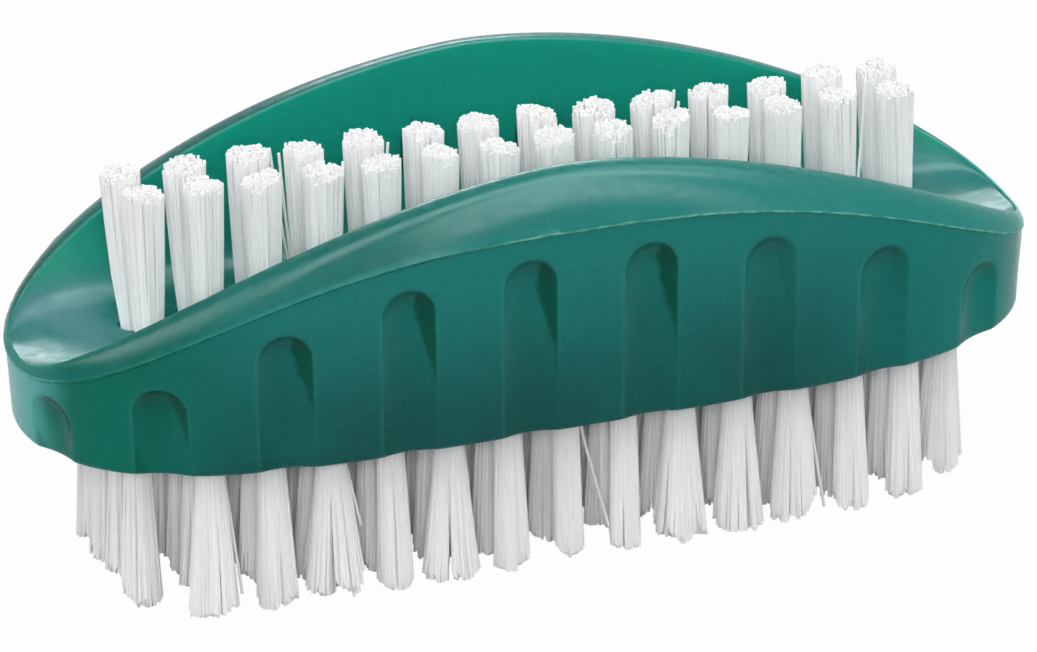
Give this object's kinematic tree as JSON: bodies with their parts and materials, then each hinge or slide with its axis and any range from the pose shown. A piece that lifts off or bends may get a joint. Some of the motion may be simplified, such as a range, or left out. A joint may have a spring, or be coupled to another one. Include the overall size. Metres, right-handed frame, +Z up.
{
  "type": "nail brush",
  "caption": "Two-sided nail brush: arched one-piece body with finger flutes, short tufts in the valley on top and a dense field of tufts underneath.",
  "frame": {"origin": "centre of the brush in plan, on the plane of the lower tips", "axes": "+X along the brush to the right, +Y across it away from the viewer, +Z up from the lower tips towards the wings"},
  "size_m": [0.0978, 0.0366, 0.0415],
  "materials": {
    "body_plastic": "satin moulded polypropylene, slightly translucent green",
    "bristle": "fine white nylon filament",
    "anchor_wire": "drawn flat wire"
  },
  "bodies": {
    "root": {"body": "body_plastic", "upper_tufts_near": "bristle", "upper_tufts_far": "bristle", "lower_tufts_near_outer": "bristle", "lower_tufts_near_middle": "bristle", "lower_tufts_near_inner": "bristle", "lower_tufts_far_inner": "bristle", "lower_tufts_far_middle": "bristle", "lower_tufts_far_outer": "bristle", "upper_anchors_near": "anchor_wire", "upper_anchors_far": "anchor_wire", "lower_anchors_near_outer": "anchor_wire", "lower_anchors_near_middle": "anchor_wire", "lower_anchors_near_inner": "anchor_wire", "lower_anchors_far_inner": "anchor_wire", "lower_anchors_far_middle": "anchor_wire", "lower_anchors_far_outer": "anchor_wire"}
  },
  "joints": []
}
